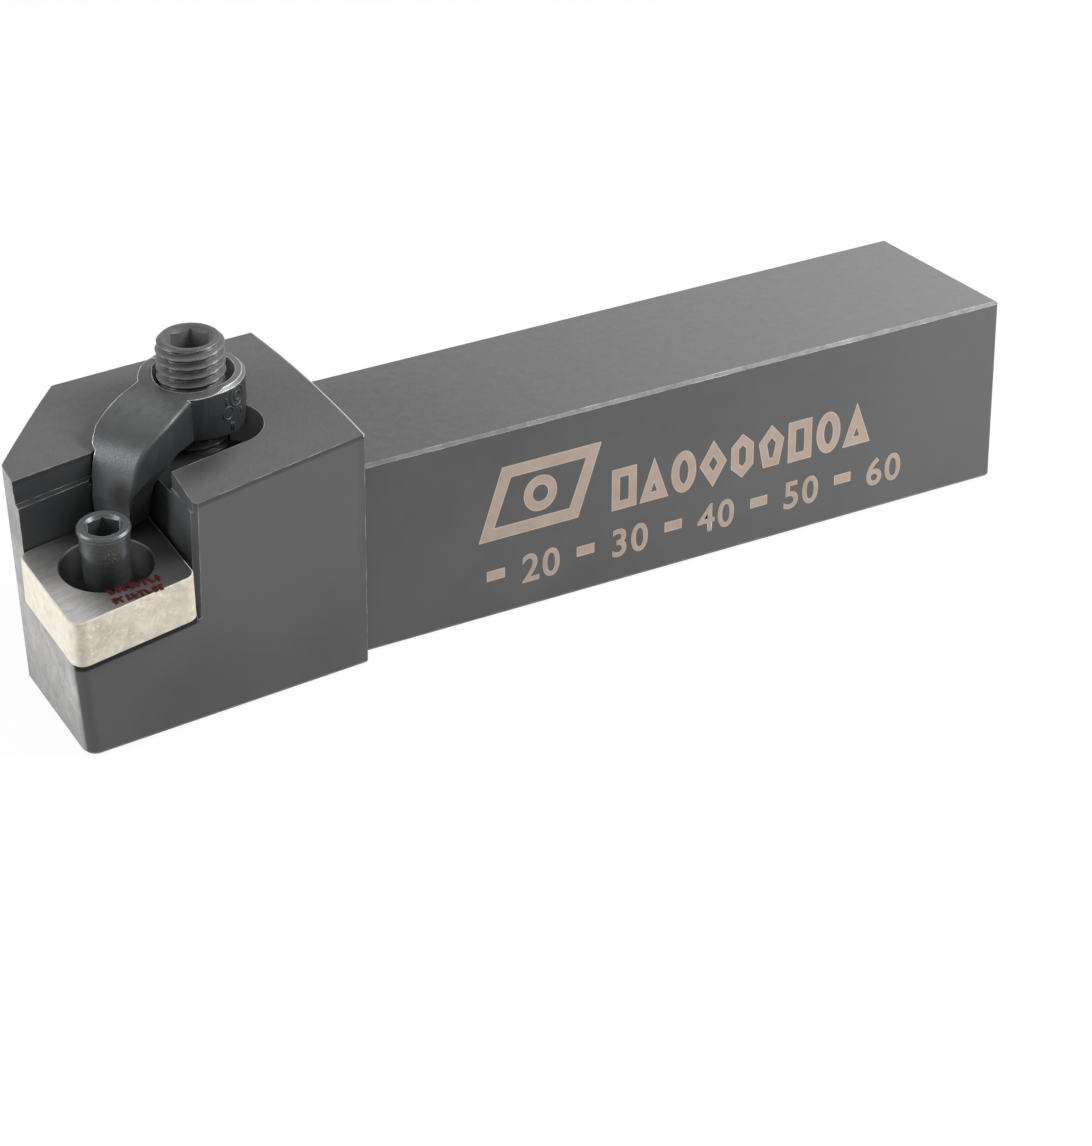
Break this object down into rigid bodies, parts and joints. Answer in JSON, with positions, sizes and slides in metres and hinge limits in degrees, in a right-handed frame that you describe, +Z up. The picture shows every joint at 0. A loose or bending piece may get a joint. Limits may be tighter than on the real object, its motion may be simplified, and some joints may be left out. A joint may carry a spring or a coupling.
{
  "type": "turning tool holder",
  "caption": "Right-hand turning tool holder with a square shank, a rhombic shim on its pin, and an arm clamp on a hexagon socket screw.",
  "frame": {"origin": "on the underside, at the shoulder where the head meets the shank, midway across the shank", "axes": "+X along the shank away from the cutting end, -Y towards the cutting side, +Z up"},
  "size_m": [0.1051, 0.0253, 0.0314],
  "materials": {
    "holder_steel": "satin black oxide",
    "shim_carbide": "matte ground",
    "pin_steel": "satin",
    "clamp_steel": "satin black oxide",
    "screw_steel": "satin"
  },
  "bodies": {
    "holder": {"holder_body": "holder_steel", "shim": "shim_carbide"},
    "clamp": {"clamp": "clamp_steel"},
    "clamp_screw": {"clamp_screw": "screw_steel"},
    "lock_pin": {"lock_pin": "pin_steel"}
  },
  "joints": [
    {"name": "clamp_lift", "type": "slide", "parent": "holder", "child": "clamp", "axis": [-0.046, -0.0539, 0.9975], "range_m": [0, 0.0024]},
    {"name": "screw_turn", "type": "hinge", "parent": "clamp", "child": "clamp_screw", "pos_m": [-0.0111, 0.00022, 0.0243], "axis": [-0.046, -0.0539, 0.9975], "range_deg": [0, 477]},
    {"name": "lock_pin_turn", "type": "hinge", "parent": "holder", "child": "lock_pin", "pos_m": [-0.02492, -0.00906, 0.01571], "axis": [-0.0918, -0.1075, 0.9899], "range_deg": [0, 720]}
  ],
  "couplings": [
    {"joint": "screw_turn", "follows": "clamp_lift", "rad_per_m": 3463.8}
  ]
}
